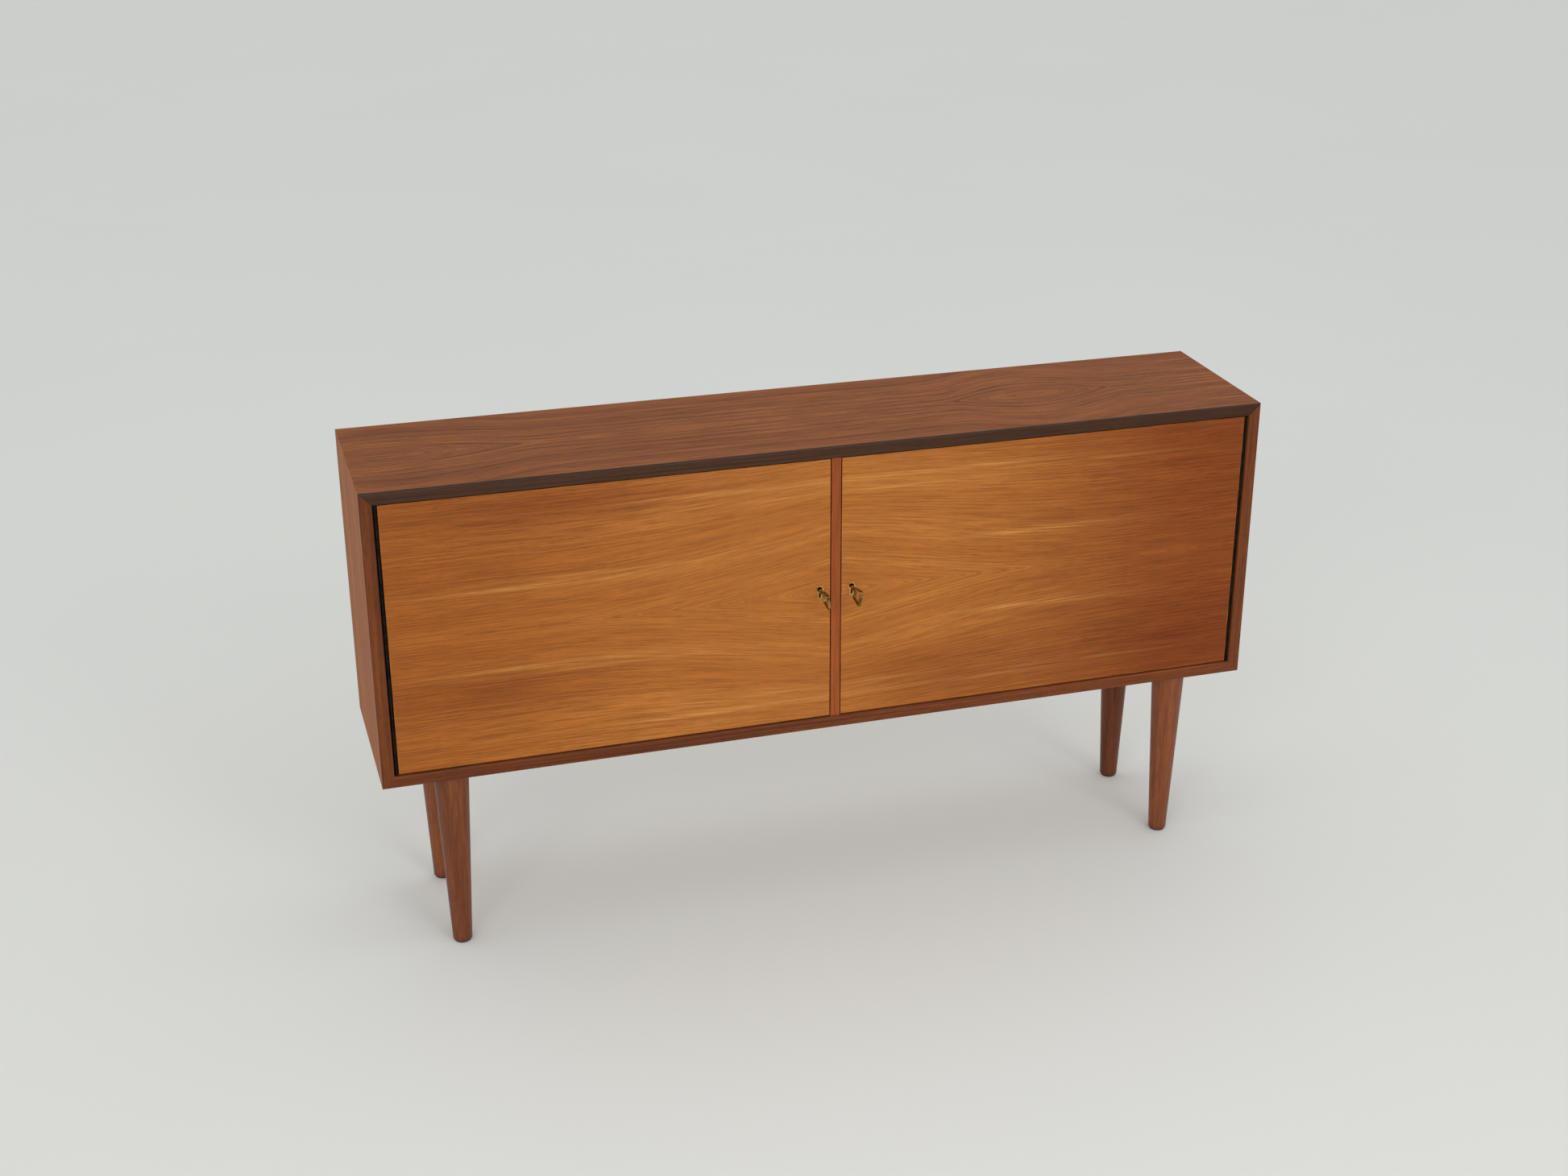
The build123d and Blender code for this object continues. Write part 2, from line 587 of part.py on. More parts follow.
def keyhole_insert():
    """A brass lining let into the door, a little proud of it."""
    outline = keyhole(INSERT_HEAD_RADIUS, INSERT_SLOT_WIDTH, INSERT_LENGTH)
    hole = keyhole(
        INSERT_HEAD_RADIUS - INSERT_WALL,
        INSERT_SLOT_WIDTH - 2 * INSERT_WALL,
        INSERT_LENGTH - 2 * INSERT_WALL,
    )
    return Pos(0, 0, INSERT_LIFT) * on_key_axis(outline - hole, -INSERT_PROUD, INSERT_DEPTH)


def door_cuts():
    """Everything let into a door: lock pocket, keyhole, insert and screw holes."""
    case_x = (DOOR_FREE_X, DOOR_FREE_X + LOCK_PLATE + LOCK_CASE_WIDTH + LOCK_FIT)
    half_height = LOCK_CASE_HEIGHT / 2 + LOCK_FIT
    case_z = (KEY_Z - half_height, KEY_Z + half_height)
    edge_x = (LOCK_X[0] - 1, LOCK_X[0] + LOCK_PLATE)
    insert = keyhole(INSERT_HEAD_RADIUS, INSERT_SLOT_WIDTH, INSERT_LENGTH)
    way = keyhole(INSERT_HEAD_RADIUS - 1, INSERT_SLOT_WIDTH - 2, INSERT_LENGTH - 2)
    lift = Pos(0, 0, INSERT_LIFT)
    return [
        in_door((case_x[0] - 1, case_x[1]), (LOCK_FRONT, DOOR_THICKNESS + 1), case_z),
        in_door((LOCK_X[0] - 1, LOCK_X[1]), (COVER_FRONT, DOOR_THICKNESS + 1), LOCK_Z),
        in_door(edge_x, (LOCK_FRONT, DOOR_THICKNESS + 1), LOCK_Z),
        lift * on_key_axis(insert, -1, INSERT_DEPTH),
        lift * on_key_axis(way, INSERT_DEPTH - 1, LOCK_FRONT + 1),
        *[screw_hole(*place, **LOCK_SCREW) for place in lock_screw_places()],
        *[screw_hole(*place, **HINGE_SCREW) for place in hinge_screw_places("moving")],
    ]


def bolt_mortise():
    """The pocket in the partition that a bolt shoots into."""
    play = 0.6
    return in_door(
        (PARTITION / 2 - MORTISE_DEPTH, PARTITION / 2 + 1),
        (BOLT_FRONT - play, BOLT_BACK + play),
        (BOLT_Z[0] - play, BOLT_Z[1] + play),
    )


def door_nodes(side):
    slab = block((DOOR_FREE_X, DOOR_HINGED_X), (DOOR_Y, DOOR_BACK_Y), (DOOR_BOTTOM, DOOR_TOP))
    screws = [screw(*place, **LOCK_SCREW) for place in lock_screw_places()]
    lean = KEY_LEANS[side]
    shapes = {
        "door": slab - door_cuts(),
        "keyhole_insert": keyhole_insert(),
        "lock_case": lock_case(),
        "lock_cover": lock_cover(),
        "lock_bolt": lock_bolt(),
        "lock_hub": lock_hub(lean),
        "key": key(lean),
    }
    nodes = {f"{name}_{side}": on_side(shape, side) for name, shape in shapes.items()}
    nodes[f"lock_screws_{side}"] = group(on_side(one, side) for one in screws)
    return nodes


# ----------------------------------------------------------------------- export
def build_nodes():
    nodes = case_nodes()
    nodes.update(leg_nodes())
    for side in KEY_LEANS:
        nodes.update(shelf_nodes(side))
        nodes.update(hinge_nodes(side))
        nodes.update(door_nodes(side))
    return nodes


def main():
    os.makedirs("parts", exist_ok=True)
    for name, shape in build_nodes().items():
        export_step(shape, f"parts/{name}.step")


main()
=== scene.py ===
import math

import bpy
from mathutils import Euler, Matrix, Vector


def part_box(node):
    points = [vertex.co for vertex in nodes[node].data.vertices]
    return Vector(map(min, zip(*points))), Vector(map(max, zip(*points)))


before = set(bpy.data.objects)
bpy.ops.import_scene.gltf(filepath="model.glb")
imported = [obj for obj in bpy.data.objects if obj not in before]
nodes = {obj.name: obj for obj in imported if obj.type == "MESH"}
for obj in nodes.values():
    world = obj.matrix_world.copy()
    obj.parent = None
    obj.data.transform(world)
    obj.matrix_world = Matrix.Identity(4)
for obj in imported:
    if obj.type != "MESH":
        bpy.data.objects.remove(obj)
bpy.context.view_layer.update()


def linear(red, green, blue):
    """A colour given as it looks on a screen, 0 to 255, as the shader wants it."""
    def channel(value):
        value /= 255
        return value / 12.92 if value <= 0.04045 else ((value + 0.055) / 1.055) ** 2.4
    return (channel(red), channel(green), channel(blue), 1.0)


class Tree:
    """The node tree of one material."""

    def __init__(self, name):
        self.material = bpy.data.materials.new(name)
        self.material.use_nodes = True
        self.tree = self.material.node_tree
        self.tree.nodes.clear()
        self.shader = self.add("ShaderNodeBsdfPrincipled")
        output = self.add("ShaderNodeOutputMaterial")
        self.tree.links.new(self.shader.outputs[0], output.inputs["Surface"])
        place = self.add("ShaderNodeTexCoord")
        split = self.add("ShaderNodeSeparateXYZ")
        self.tree.links.new(place.outputs["Object"], split.inputs[0])
        self.x, self.y, self.z = split.outputs

    def add(self, kind, **settings):
        node = self.tree.nodes.new(kind)
        for name, value in settings.items():
            setattr(node, name, value)
        return node

    def feed(self, socket, value):
        if isinstance(value, bpy.types.NodeSocket):
            self.tree.links.new(value, socket)
        else:
            socket.default_value = value

    def set(self, **values):
        """Sets or links the shader's sockets; an underscore in a name stands for a space."""
        for name, value in values.items():
            self.feed(self.shader.inputs[name.replace("_", " ")], value)

    def math(self, operation, *values):
        node = self.add("ShaderNodeMath", operation=operation)
        for socket, value in zip(node.inputs, values):
            self.feed(socket, value)
        return node.outputs[0]

    def sum(self, *values):
        total = values[0]
        for value in values[1:]:
            total = self.math("ADD", total, value)
        return total

    def times(self, *values):
        total = values[0]
        for value in values[1:]:
            total = self.math("MULTIPLY", total, value)
        return total

    def span(self, value, low, high, start=0.0, end=1.0):
        """value from low to high, smoothly, as start to end."""
        node = self.add("ShaderNodeMapRange", interpolation_type="SMOOTHSTEP")
        for name, given in (("Value", value), ("From Min", low), ("From Max", high),
                            ("To Min", start), ("To Max", end)):
            self.feed(node.inputs[name], given)
        return node.outputs[0]

    def hill(self, value, centre, reach):
        """1 at the centre, falling to almost 0 at one reach from it."""
        away = self.math("DIVIDE", self.math("SUBTRACT", value, centre), reach)
        return self.math("EXPONENT", self.times(away, away, -3.0))

    def vector(self, x, y, z):
        node = self.add("ShaderNodeCombineXYZ")
        for socket, value in zip(node.inputs, (x, y, z)):
            self.feed(socket, value)
        return node.outputs[0]

    def noise(self, place, scales, detail=2.0, roughness=0.5, seed=0.0):
        """Noise over three coordinates, each with its own number of waves to the metre."""
        scaled = [self.math("MULTIPLY_ADD", value, scale, seed)
                  for value, scale in zip(place, scales)]
        node = self.add("ShaderNodeTexNoise")
        self.feed(node.inputs["Vector"], self.vector(*scaled))
        for name, value in (("Scale", 1.0), ("Detail", detail), ("Roughness", roughness)):
            self.feed(node.inputs[name], value)
        return node.outputs[0]

    def mix(self, factor, first, second, blend="MIX"):
        node = self.add("ShaderNodeMix", data_type="RGBA", blend_type=blend)
        self.feed(node.inputs[0], factor)
        self.feed(node.inputs[6], first)
        self.feed(node.inputs[7], second)
        return node.outputs[2]

    def bump(self, height, distance, strength):
        node = self.add("ShaderNodeBump")
        self.feed(node.inputs["Strength"], strength)
        self.feed(node.inputs["Distance"], distance)
        self.feed(node.inputs["Height"], height)
        return node.outputs[0]

    def edge_mask(self, radius):
        """1 on an edge and 0 on a flat, within about the radius of the edge."""
        rounded = self.add("ShaderNodeBevel", samples=4)
        rounded.inputs["Radius"].default_value = radius
        plain = self.add("ShaderNodeNewGeometry")
        product = self.add("ShaderNodeVectorMath", operation="DOT_PRODUCT")
        self.tree.links.new(rounded.outputs[0], product.inputs[0])
        self.tree.links.new(plain.outputs["Normal"], product.inputs[1])
        return self.span(product.outputs["Value"], 0.985, 0.80)


# ---------------------------------------------------------------- wood

def axes(tree, along, across, through):
    """The three coordinates in the order along, across and through the grain."""
    by_name = {"X": tree.x, "Y": tree.y, "Z": tree.z}
    return by_name[along], by_name[across], by_name[through]


def wavy(tree, place, depth, seed):
    """Straight grain with a slow wave in it."""
    along, across, through = place
    wave = tree.noise(place, (1.6, 7.0, 7.0), detail=2.0, seed=seed)
    return along, tree.math("MULTIPLY_ADD", wave, depth, across), through


def teak(tree, place, light, dark, line, pore, seed=0.0, lines=0.6, pores=0.6, fibres=0.50, gloss=0.48,
         ring=150.0, bands=20.0, specular=0.14):
    """Teak over the coordinates along, across and through its grain. Returns the colour before shading."""
    broad = tree.span(tree.noise(place, (0.7, bands, bands), detail=3.0, seed=seed), 0.34, 0.66)
    drift = tree.noise(place, (2.2, 5.0, 5.0), detail=2.0, seed=seed + 3.1)
    rings = tree.noise(place, (0.9, ring, ring), detail=2.5, roughness=0.6, seed=seed + 7.7)
    late = tree.span(rings, 0.54, 0.70)
    fibre = tree.noise(place, (10.0, 560.0, 560.0), detail=3.0, roughness=0.7, seed=seed + 1.3)
    # Pores are short open vessels, so they are noise stretched along the grain and cut off high
    vessel = tree.noise(place, (55.0, 1400.0, 1400.0), detail=1.5, roughness=0.6, seed=seed + 5.9)
    open_pore = tree.span(vessel, 0.52, 0.68)
    crowd = tree.noise(place, (2.0, 90.0, 90.0), detail=2.0, seed=seed + 9.4)
    crowd = tree.span(crowd, 0.35, 0.62, 0.6, 1.0)
    open_pore = tree.times(open_pore, crowd)
    stripe = tree.noise(place, (1.3, ring * 0.9, ring * 0.9), detail=4.0, roughness=0.7, seed=seed + 2.2)

    colour = tree.mix(broad, light, dark)
    colour = tree.mix(tree.span(stripe, 0.36, 0.62, 0.0, 0.45), colour, dark)
    colour = tree.mix(tree.span(stripe, 0.46, 0.30, 0.0, 0.35), colour, light)
    colour = tree.mix(tree.span(drift, 0.35, 0.68, 0.0, 0.35), colour, dark)
    colour = tree.mix(tree.times(late, lines), colour, line)
    colour = tree.mix(tree.span(fibre, 0.40, 0.62, 0.0, fibres), colour, line)
    colour = tree.mix(tree.times(open_pore, pores), colour, pore)

    rough = tree.sum(tree.span(fibre, 0.3, 0.7, gloss - 0.03, gloss + 0.05), tree.times(open_pore, 0.15))
    height = tree.math("SUBTRACT", tree.times(fibre, 0.25), open_pore)
    tree.set(Roughness=rough, Specular_IOR_Level=specular, Normal=tree.bump(height, 0.00012, 0.55))
    return colour


def worn(tree, colour, lighter, node, reach=0.0016):
    """Handling lightens a board along its edges, unevenly. An edge is where the surface is close to two of the
    sides of the board's box. The two boards of a left and right pair share one material."""
    low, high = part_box(node)
    paired = node.endswith(("_left", "_right"))
    near = []
    for axis, value in enumerate((tree.x, tree.y, tree.z)):
        centre, half = (low[axis] + high[axis]) / 2, (high[axis] - low[axis]) / 2
        if axis == 0 and paired:
            value, centre = tree.math("ABSOLUTE", value), abs(centre)
        away = tree.math("ABSOLUTE", tree.math("SUBTRACT", value, centre))
        near.append(tree.span(away, half - reach, half))
    edge = tree.math("MAXIMUM", tree.times(near[0], near[1]), tree.times(near[1], near[2]))
    edge = tree.math("MAXIMUM", edge, tree.times(near[0], near[2]))
    patchy = tree.span(tree.noise((tree.x, tree.y, tree.z), (30.0, 30.0, 30.0), detail=2.0), 0.4, 0.65)
    return tree.mix(tree.times(edge, patchy, 0.4), colour, lighter)


TOP_TEAK = dict(light=linear(174, 102, 48), dark=linear(138, 75, 33), line=linear(74, 36, 18),
                pore=linear(58, 29, 15))
CASE_TEAK = dict(light=linear(184, 114, 62), dark=linear(152, 88, 46), line=linear(98, 52, 28),
                 pore=linear(72, 38, 20))
SIDE_TEAK = dict(light=linear(194, 124, 72), dark=linear(164, 98, 54), line=linear(118, 66, 36),
                 pore=linear(82, 44, 24))
STRIP_TEAK = dict(light=linear(138, 74, 34), dark=linear(106, 53, 23), line=linear(70, 33, 15),
                  pore=linear(50, 24, 11))
DARK_STRIP_TEAK = dict(light=linear(86, 54, 35), dark=linear(68, 41, 25), line=linear(46, 27, 16),
                       pore=linear(34, 20, 12))
DOOR_TEAK = dict(light=linear(196, 126, 58), dark=linear(175, 105, 43), line=linear(130, 72, 29),
                 pore=linear(92, 50, 20))
LEG_TEAK = dict(light=linear(158, 91, 52), dark=linear(126, 68, 38), line=linear(88, 44, 26),
                pore=linear(62, 32, 18))
INSIDE_TEAK = dict(light=linear(176, 116, 74), dark=linear(148, 92, 56), line=linear(116, 68, 40),
                   pore=linear(80, 46, 28))
PARTITION_TEAK = dict(light=linear(170, 92, 42), dark=linear(148, 74, 32), line=linear(112, 52, 22),
                      pore=linear(84, 40, 16))

# Long pale streaks on the doors: centre and reach along them, distance from the seam, width, strength
PALE_STREAK = linear(238, 182, 104)
STREAKS = ((-0.42, 0.26, 0.060, 0.0062, 0.42), (0.34, 0.20, 0.058, 0.0060, 0.5),
           (-0.36, 0.34, 0.070, 0.0044, 0.2), (-0.20, 0.44, 0.165, 0.0054, 0.3),
           (0.30, 0.36, 0.166, 0.0054, 0.3), (0.42, 0.26, 0.158, 0.0040, 0.3),
           (0.10, 0.52, 0.148, 0.0036, 0.2))
# Darker, redder clouds on the doors: centre in X and Z, reach along and up, strength
CLOUD = linear(206, 184, 178)
CLOUDS = ((-0.40, 0.67, 0.40, 0.07, 0.8), (0.17, 0.345, 0.26, 0.08, 0.8),
          (-0.48, 0.40, 0.24, 0.06, 0.4), (0.48, 0.36, 0.30, 0.09, 0.5))
# Multipliers for the doors' outer ends: a redder tone of the veneer, with painted shade where the light falls
# off
RIGHT_END_TONE_AND_SHADE = linear(196, 166, 154)
LEFT_END_TONE_AND_SHADE = linear(230, 216, 196)
# Narrow dark lines on the top: distance from its seam, width, strength
DARK_LINES = ((0.050, 0.0028, 0.65), (0.064, 0.0024, 0.5), (0.078, 0.0018, 0.5),
              (0.090, 0.0026, 0.65), (0.108, 0.0022, 0.5), (0.150, 0.0022, 0.5))


def straight_teak(node, directions, colours, seed, **settings):
    tree = Tree(f"{node}_teak")
    place = wavy(tree, axes(tree, *directions), 0.010, seed)
    colour = teak(tree, place, seed=seed, **colours, **settings)
    tree.set(Base_Color=worn(tree, colour, colours["light"], node))
    return tree.material


def lens_figure(tree, along, half, centres, height):
    """How far a book-matched leaf's growth rings are from the seam. Each centre is (place, half length). Round
    it the rings close into a pointed eye. Between the eyes they run straight, so height is an eye's half width.
    """
    rise = 1.0
    for place, reach in centres:
        away = tree.math("DIVIDE", tree.math("SUBTRACT", along, place), reach)
        rise = tree.math("SMOOTH_MIN", tree.times(away, away), rise, 0.5)
    return tree.math("MULTIPLY_ADD", rise, height, half)


def door_teak():
    """Both doors are one book-matched sheet. Its seam is at the height of the keys, its eye on the partition."""
    tree = Tree("door_teak")
    low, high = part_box("keyhole_insert_left")
    seam = (low.z + high.z) / 2
    offset = tree.math("SUBTRACT", tree.z, seam)
    sway = tree.noise((tree.x, tree.x, tree.y), (1.6, 0.0, 0.0), detail=1.0, seed=4.0)
    offset = tree.math("MULTIPLY_ADD", tree.math("SUBTRACT", sway, 0.5), 0.008, offset)
    half = tree.math("SMOOTH_MAX", offset, tree.times(offset, -1.0), 0.008)
    # The rings rise towards the partition from both sides, less and less away from the seam
    away = tree.math("ABSOLUTE", tree.x)
    eye = tree.math("SMOOTH_MIN", tree.times(away, 0.17), 0.050, 0.03)
    eye = tree.times(eye, tree.span(half, 0.02, 0.20, 1.0, 0.25))
    wave = tree.noise((tree.x, half, tree.y), (2.2, 7.0, 0.0), detail=1.0, seed=2.0)
    across = tree.sum(half, eye, tree.times(wave, 0.005))
    place = (tree.x, across, tree.y)
    colour = teak(tree, place, seed=11.0, lines=0.34, pores=0.30, fibres=0.55, gloss=0.48, ring=640.0,
                  bands=30.0, **DOOR_TEAK)

    # The streaks come in pairs either side of the seam, ragged, with a darker line beside each
    ragged = tree.noise(place, (7.0, 620.0, 0.0), detail=3.0, seed=8.0)
    ragged = tree.span(ragged, 0.40, 0.60, 0.10, 1.0)
    for centre, reach, mirrored, width, strength in STREAKS:
        length = tree.times(tree.hill(tree.x, centre, reach), strength)
        colour = tree.mix(tree.times(tree.hill(half, mirrored, width), length, ragged), colour, PALE_STREAK)
        beside = tree.hill(half, mirrored + 2.2 * width, 1.6 * width)
        colour = tree.mix(tree.times(beside, length, 0.5), colour, DOOR_TEAK["line"])
    for x, z, along, up, strength in CLOUDS:
        cloud = tree.times(tree.hill(tree.x, x, along), tree.hill(tree.z, z, up), strength)
        colour = tree.mix(cloud, colour, CLOUD, blend="MULTIPLY")
    # The outer part of the right door is redder, and both doors darken towards their ends: partly a redder tone
    # of the veneer, partly painted shade where the light falls off away from the middle of the doors
    redder_and_shaded = tree.span(tree.x, 0.12, 0.60, 0.0, 1.0)
    colour = tree.mix(redder_and_shaded, colour, RIGHT_END_TONE_AND_SHADE, blend="MULTIPLY")
    left_end_tone_and_shade = tree.span(tree.x, -0.15, -0.62, 0.0, 1.0)
    colour = tree.mix(left_end_tone_and_shade, colour, LEFT_END_TONE_AND_SHADE, blend="MULTIPLY")
    tree.set(Base_Color=worn(tree, colour, DOOR_TEAK["light"], "door_left"))
    return tree.material


def top_teak():
    """The top is book-matched about the middle of its depth. It has an eye near the right end, and half of a
    larger one at the left end."""
    tree = Tree("top_teak")
    low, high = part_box("top_panel")
    middle = (low.y + high.y) / 2
    offset = tree.math("SUBTRACT", tree.y, middle)
    half = tree.math("SMOOTH_MAX", offset, tree.times(offset, -1.0), 0.012)
    left_eye, right_eye = (low.x + 0.048, 0.19), (high.x - 0.308, 0.12)
    figure = lens_figure(tree, tree.x, half, (left_eye, right_eye), 0.040)
    wave = tree.noise((tree.x, half, tree.z), (3.2, 9.0, 0.0), detail=2.0, seed=6.0)
    across = tree.sum(figure, tree.times(wave, 0.024))
    place = (tree.x, across, tree.z)
    colour = teak(tree, place, seed=21.0, lines=0.65, pores=0.3, gloss=0.55, ring=200.0, bands=30.0, **TOP_TEAK)
    # A few narrow dark lines follow the figure from end to end
    for distance, width, strength in DARK_LINES:
        broken = tree.span(tree.noise(place, (5.0, 30.0, 0.0), detail=1.0, seed=distance * 100), 0.34, 0.52)
        line = tree.times(tree.hill(across, distance, width), broken, strength)
        colour = tree.mix(line, colour, TOP_TEAK["line"])
    tree.set(Base_Color=worn(tree, colour, TOP_TEAK["light"], "top_panel"))
    return tree.material


def leg_teak(node, turn, shade_tint):
    """A turned leg: flat growth layers, turned about the leg's axis, so its taper cuts them into arches."""
    tree = Tree(f"{node}_teak")
    low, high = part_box(node)
    x = tree.math("SUBTRACT", tree.x, (low.x + high.x) / 2)
    y = tree.math("SUBTRACT", tree.y, (low.y + high.y) / 2)
    across = tree.sum(tree.times(x, math.sin(turn)), tree.times(y, math.cos(turn)))
    beside = tree.sum(tree.times(x, math.cos(turn)), tree.times(y, -math.sin(turn)))
    layer = tree.sum(across, tree.times(beside, beside, 6.0))
    place = wavy(tree, (tree.z, layer, beside), 0.006, turn)
    colour = teak(tree, place, seed=31.0 + turn, lines=0.4, pores=0.2, gloss=0.36, ring=210.0, bands=90.0,
                  specular=0.25, **LEG_TEAK)
    # Painted shade: the leg's shade tint darkens it by how little light reaches it
    colour = tree.mix(1.0, colour, shade_tint, blend="MULTIPLY")
    # The foot darkens over its last 12 mm, down to where it meets its pad
    foot = tree.span(tree.z, low.z + 0.012, low.z, 0.0, 0.5)
    tree.set(Base_Color=tree.mix(foot, colour, LEG_TEAK["line"]))
    return tree.material


def beech():
    """Pale, even beech with short darker flecks."""
    tree = Tree("beech")
    place = (tree.x, tree.y, tree.z)
    grain = tree.noise(place, (40.0, 160.0, 40.0), detail=3.0)
    fleck = tree.span(tree.noise(place, (300.0, 1200.0, 300.0), detail=1.0), 0.60, 0.68)
    colour = tree.mix(tree.span(grain, 0.35, 0.65), linear(216, 176, 132), linear(190, 146, 104))
    colour = tree.mix(tree.times(fleck, 0.5), colour, linear(140, 96, 62))
    tree.set(Base_Color=colour, Roughness=tree.span(grain, 0.3, 0.7, 0.48, 0.60), Specular_IOR_Level=0.4,
             Normal=tree.bump(tree.math("SUBTRACT", grain, fleck), 0.0001, 0.5))
    return tree.material


def plywood(node):
    """A rotary-cut face with wide loops of grain, and on the edges the plies."""
    tree = Tree("plywood")
    low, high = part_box(node)
    place = (tree.x, tree.z, tree.y)
    loops = tree.noise(place, (0.8, 5.0, 5.0), detail=1.0, seed=2.0)
    rings = tree.math("SINE", tree.times(loops, 150.0))
    fibre = tree.noise(place, (12.0, 700.0, 700.0), detail=2.0)
    colour = tree.mix(tree.span(rings, -0.4, 1.0), linear(190, 140, 97), linear(185, 134, 92))
    colour = tree.mix(tree.span(fibre, 0.3, 0.7, 0.0, 0.35), colour, linear(126, 82, 52))
    depth = tree.math("DIVIDE", tree.math("SUBTRACT", tree.y, low.y), high.y - low.y)
    ply = tree.span(tree.math("SINE", tree.times(depth, 3 * math.pi)), -0.1, 0.1)
    geometry = tree.add("ShaderNodeNewGeometry")
    facing = tree.add("ShaderNodeSeparateXYZ")
    tree.tree.links.new(geometry.outputs["Normal"], facing.inputs[0])
    edge = tree.span(tree.math("ABSOLUTE", facing.outputs[1]), 0.6, 0.4)
    plies = tree.mix(ply, linear(120, 78, 50), linear(196, 150, 106))
    colour = tree.mix(edge, colour, plies)
    tree.set(Base_Color=colour, Roughness=tree.span(fibre, 0.3, 0.7, 0.55, 0.66), Specular_IOR_Level=0.35,
             Normal=tree.bump(fibre, 0.0001, 0.5))
    return tree.material


# ---------------------------------------------------------------- metal and plastic

def metal(name, face, recess, edge, rough, rub_and_glint=0.6):
    """Metal with a stained surface, fine working marks and brighter rubbed edges; on the keys these edges are
    also a painted highlight.
    """
    tree = Tree(name)
    place = (tree.x, tree.y, tree.z)
    stain = tree.span(tree.noise(place, (90.0, 90.0, 90.0), detail=4.0, roughness=0.6), 0.36, 0.64)
    marks = tree.noise(place, (260.0, 260.0, 1560.0), detail=2.0)
    colour = tree.mix(stain, face, recess)
    rubbed_and_glint = tree.times(tree.edge_mask(0.0005), tree.span(stain, 1.0, 0.0, 0.5, 1.0), rub_and_glint)
    colour = tree.mix(rubbed_and_glint, colour, edge)
    tree.set(Base_Color=colour, Metallic=1.0, Normal=tree.bump(marks, 0.00003, 0.4),
             Roughness=tree.sum(tree.span(stain, 0.0, 1.0, rough - 0.04, rough + 0.12),
                                tree.times(rubbed_and_glint, -0.10)))
    return tree.material


def nylon():
    """Moulded dark nylon with a fine matt grain, scuffed on its edges."""
    tree = Tree("nylon")
    place = (tree.x, tree.y, tree.z)
    grain = tree.noise(place, (1500.0, 1500.0, 1500.0), detail=2.0)
    dust = tree.span(tree.noise(place, (120.0, 120.0, 120.0), detail=4.0), 0.45, 0.7, 0.0, 0.4)
    colour = tree.mix(dust, linear(38, 36, 34), linear(74, 70, 66))
    colour = tree.mix(tree.times(tree.edge_mask(0.0006), 0.5), colour, linear(96, 92, 88))
    tree.set(Base_Color=colour, Roughness=tree.span(grain, 0.3, 0.7, 0.45, 0.60),
             Normal=tree.bump(grain, 0.00004, 0.4))
    return tree.material


def floor_paint():
    """Pale painted floor, barely uneven in tone and gloss."""
    tree = Tree("floor_paint")
    place = (tree.x, tree.y, tree.z)
    tone = tree.noise(place, (1.3, 1.3, 1.3), detail=4.0)
    grain = tree.noise(place, (160.0, 160.0, 160.0), detail=2.0)
    colour = tree.mix(tree.span(tone, 0.3, 0.7), linear(228, 229, 226), linear(227, 228, 225))
    tree.set(Base_Color=colour, Roughness=tree.span(tone, 0.3, 0.7, 0.80, 0.90), Specular_IOR_Level=0.12,
             Normal=tree.bump(grain, 0.0002, 0.15))
    return tree.material


# ---------------------------------------------------------------- what each piece is made of

SIDES = ("left", "right")
# Painted shade on the four legs, deepest on the back right one and almost none on the front right one; in order
# front left, front right, back left, back right
LEG_SHADE_TINTS = (linear(228, 222, 212), linear(255, 255, 250), linear(240, 236, 228), linear(204, 198, 190))
STRIP_SURFACE = dict(gloss=0.30, specular=0.16, ring=260.0)


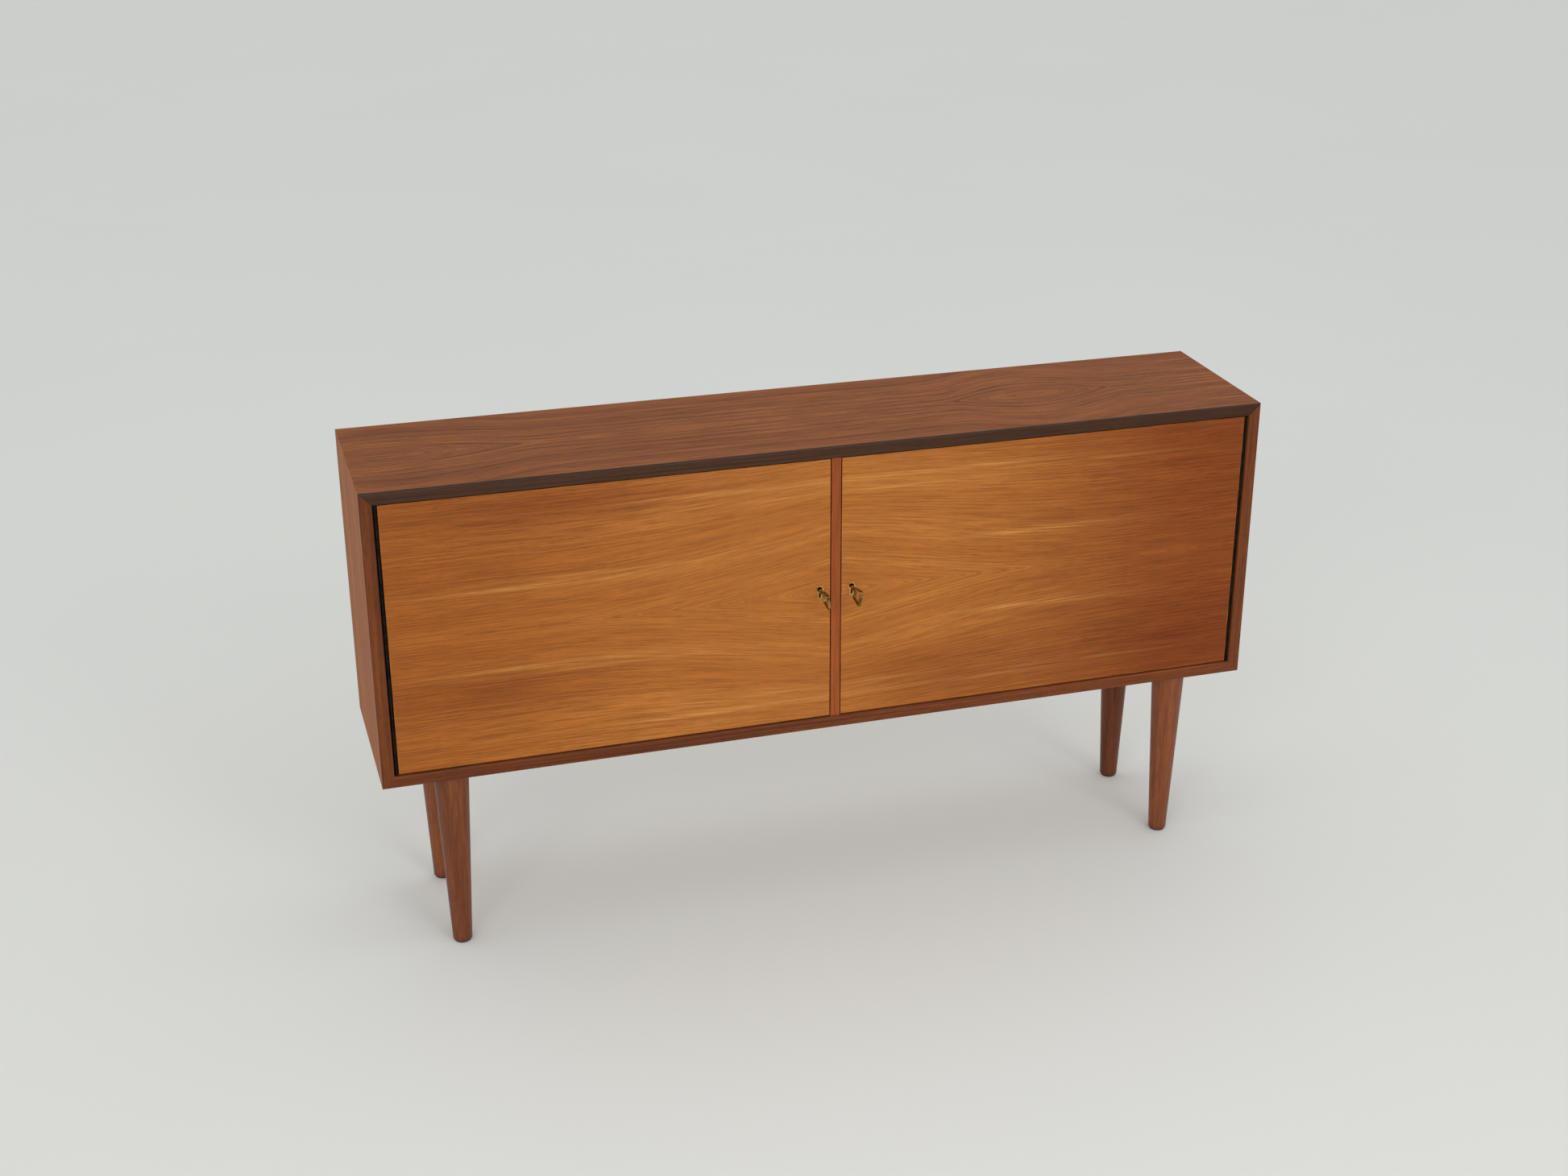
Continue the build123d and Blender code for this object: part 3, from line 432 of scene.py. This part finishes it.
def finish_pieces():
    finishes = {}
    finishes["top_panel"] = top_teak()
    finishes["bottom_panel"] = straight_teak("bottom_panel", "XYZ", CASE_TEAK, 3.0)
    sides = straight_teak("side_panel_left", "ZYX", SIDE_TEAK, 5.0, gloss=0.55, specular=0.08, lines=0.35,
                          pores=0.35)
    strips_across = straight_teak("front_lipping_bottom", "XZY", STRIP_TEAK, 8.0, lines=0.7, **STRIP_SURFACE)
    strips_upright = straight_teak("front_lipping_left", "ZXY", STRIP_TEAK, 9.0, lines=0.7, **STRIP_SURFACE)
    finishes["front_lipping_top"] = straight_teak("front_lipping_top", "XZY", DARK_STRIP_TEAK, 12.0, lines=0.7,
                                                  **STRIP_SURFACE)
    finishes["front_lipping_bottom"] = strips_across
    finishes["partition_lipping"] = straight_teak("partition_lipping", "ZXY", PARTITION_TEAK, 14.0, lines=0.4,
                                                  pores=0.3, gloss=0.38, ring=300.0)
    finishes["centre_partition"] = straight_teak("centre_partition", "ZYX", INSIDE_TEAK, 15.0, gloss=0.5)
    inside = straight_teak("shelf_left", "XYZ", INSIDE_TEAK, 17.0, gloss=0.5)
    doors = door_teak()
    pale = beech()
    steel = metal("plain_steel", linear(176, 174, 170), linear(140, 136, 130), linear(214, 212, 208), 0.36)
    black = metal("blackened_steel", linear(40, 34, 31), linear(26, 23, 22), linear(110, 100, 92), 0.42,
                  rub_and_glint=0.35)
    brass = metal("brass", linear(222, 184, 104), linear(186, 144, 72), linear(248, 222, 150), 0.22)
    # The keys' edges are pushed bright: partly rubbed brass, partly a painted highlight along their rims
    old_brass = metal("aged_brass", linear(172, 138, 80), linear(96, 70, 36), linear(250, 226, 160), 0.20,
                      rub_and_glint=1.0)
    pads = nylon()
    for number, (row, side) in enumerate((row, side) for row in ("front", "back") for side in SIDES):
        leg = f"leg_{row}_{side}"
        finishes[leg] = leg_teak(leg, 0.25 + 0.9 * number, LEG_SHADE_TINTS[number])
        finishes[f"glide_{row}_{side}"] = pads
    finishes["back_panel"] = plywood("back_panel")
    for name in ("mitre_splines", "partition_dowels"):
        finishes[name] = pale
    for name in ("back_panel_screws", "leg_bolts", "leg_inserts"):
        finishes[name] = steel
    for side in SIDES:
        finishes[f"side_panel_{side}"] = sides
        finishes[f"front_lipping_{side}"] = strips_upright
        finishes[f"door_{side}"] = doors
        finishes[f"shelf_{side}"] = inside
        finishes[f"door_stop_{side}"] = pale
        for name in ("hinge_leaf_case", "hinge_leaf_door", "hinge_pin", "hinge_screws_case",
                     "hinge_screws_door"):
            finishes[f"{name}_{side}"] = black
        for name in ("lock_case", "lock_cover", "lock_screws", "lock_hub", "keyhole_insert", "shelf_pins"):
            finishes[f"{name}_{side}"] = brass
        for name in ("key", "lock_bolt"):
            finishes[f"{name}_{side}"] = old_brass
    missing = sorted(set(nodes) - set(finishes))
    if missing:
        raise ValueError(f"no finish for {missing}")
    for name, material in finishes.items():
        for slot in nodes[name].material_slots:
            slot.material = material


# ---------------------------------------------------------------- floor, light and camera

def add_floor(reach=60.0):
    mesh = bpy.data.meshes.new("floor")
    corners = [(-reach, -reach, 0), (reach, -reach, 0), (reach, reach, 0), (-reach, reach, 0)]
    mesh.from_pydata(corners, [], [(0, 1, 2, 3)])
    floor = bpy.data.objects.new("floor", mesh)
    bpy.context.scene.collection.objects.link(floor)
    mesh.materials.append(floor_paint())


# How wide a cone the panels light: narrower than a bare panel's, so the floor below each isn't washed out
SPREAD = math.radians(70.0)


def add_panel_light(name, place, target, size, power, colour):
    lamp = bpy.data.lights.new(name, "AREA")
    lamp.shape = "RECTANGLE"
    lamp.size, lamp.size_y = size
    lamp.energy = power
    lamp.spread = SPREAD
    lamp.color = colour
    item = bpy.data.objects.new(name, lamp)
    bpy.context.scene.collection.objects.link(item)
    item.location = place
    item.rotation_euler = (Vector(target) - Vector(place)).to_track_quat("-Z", "Y").to_euler()
    item.visible_camera = False


# Radiance of the surroundings, level and straight up: a room with a lit pale ceiling
HORIZON = (0.60, 0.61, 0.605, 1.0)
ZENITH = (0.86, 0.87, 0.865, 1.0)


# Name, place, target, size, power, colour
PANELS = (("right_light", (1.7, -4.6, 3.1), (0.0, 0.2, 0.45), (1.8, 1.3), 6.3, (1.0, 0.99, 0.97)),
          ("left_light", (-3.0, -4.2, 2.9), (0.0, 0.2, 0.45), (1.8, 1.3), 5.7, (1.0, 1.0, 1.0)),
          ("low_light", (-0.3, -4.6, 1.0), (0.0, 0.0, 0.1), (3.0, 0.9), 7.3, (1.0, 1.0, 1.0)))


def add_light():
    world = bpy.data.worlds.new("studio")
    bpy.context.scene.world = world
    world.use_nodes = True
    tree = world.node_tree
    place = tree.nodes.new("ShaderNodeTexCoord")
    split = tree.nodes.new("ShaderNodeSeparateXYZ")
    blend = tree.nodes.new("ShaderNodeMix")
    blend.data_type = "RGBA"
    blend.inputs[6].default_value = HORIZON
    blend.inputs[7].default_value = ZENITH
    tree.links.new(place.outputs["Generated"], split.inputs[0])
    tree.links.new(split.outputs["Z"], blend.inputs[0])
    tree.links.new(blend.outputs[2], tree.nodes["Background"].inputs["Color"])
    for panel in PANELS:
        add_panel_light(*panel)


CAMERA_PLACE = (-0.88105, -2.84061, 1.73541)
CAMERA_LENS, CAMERA_SENSOR = 50.69, 36.0
CAMERA_SHIFT = (-0.0457, 0.0118)
# Degrees to the right of +Y, down from level, and about the line of sight
CAMERA_YAW, CAMERA_PITCH, CAMERA_ROLL = 18.459, 23.802, 0.618


def add_camera():
    data = bpy.data.cameras.new("camera")
    data.sensor_fit = "HORIZONTAL"
    data.sensor_width = CAMERA_SENSOR
    data.lens = CAMERA_LENS
    data.shift_x, data.shift_y = CAMERA_SHIFT
    camera = bpy.data.objects.new("camera", data)
    bpy.context.scene.collection.objects.link(camera)
    yaw, pitch, roll = (math.radians(angle) for angle in (CAMERA_YAW, CAMERA_PITCH, CAMERA_ROLL))
    turn = Euler((math.pi / 2 - pitch, 0.0, -yaw)).to_matrix() @ Matrix.Rotation(roll, 3, "Z")
    camera.matrix_world = Matrix.Translation(CAMERA_PLACE) @ turn.to_4x4()
    bpy.context.scene.camera = camera


finish_pieces()
add_floor()
add_light()
add_camera()
bpy.context.scene.view_settings.view_transform = "Standard"

bpy.context.view_layer.update()
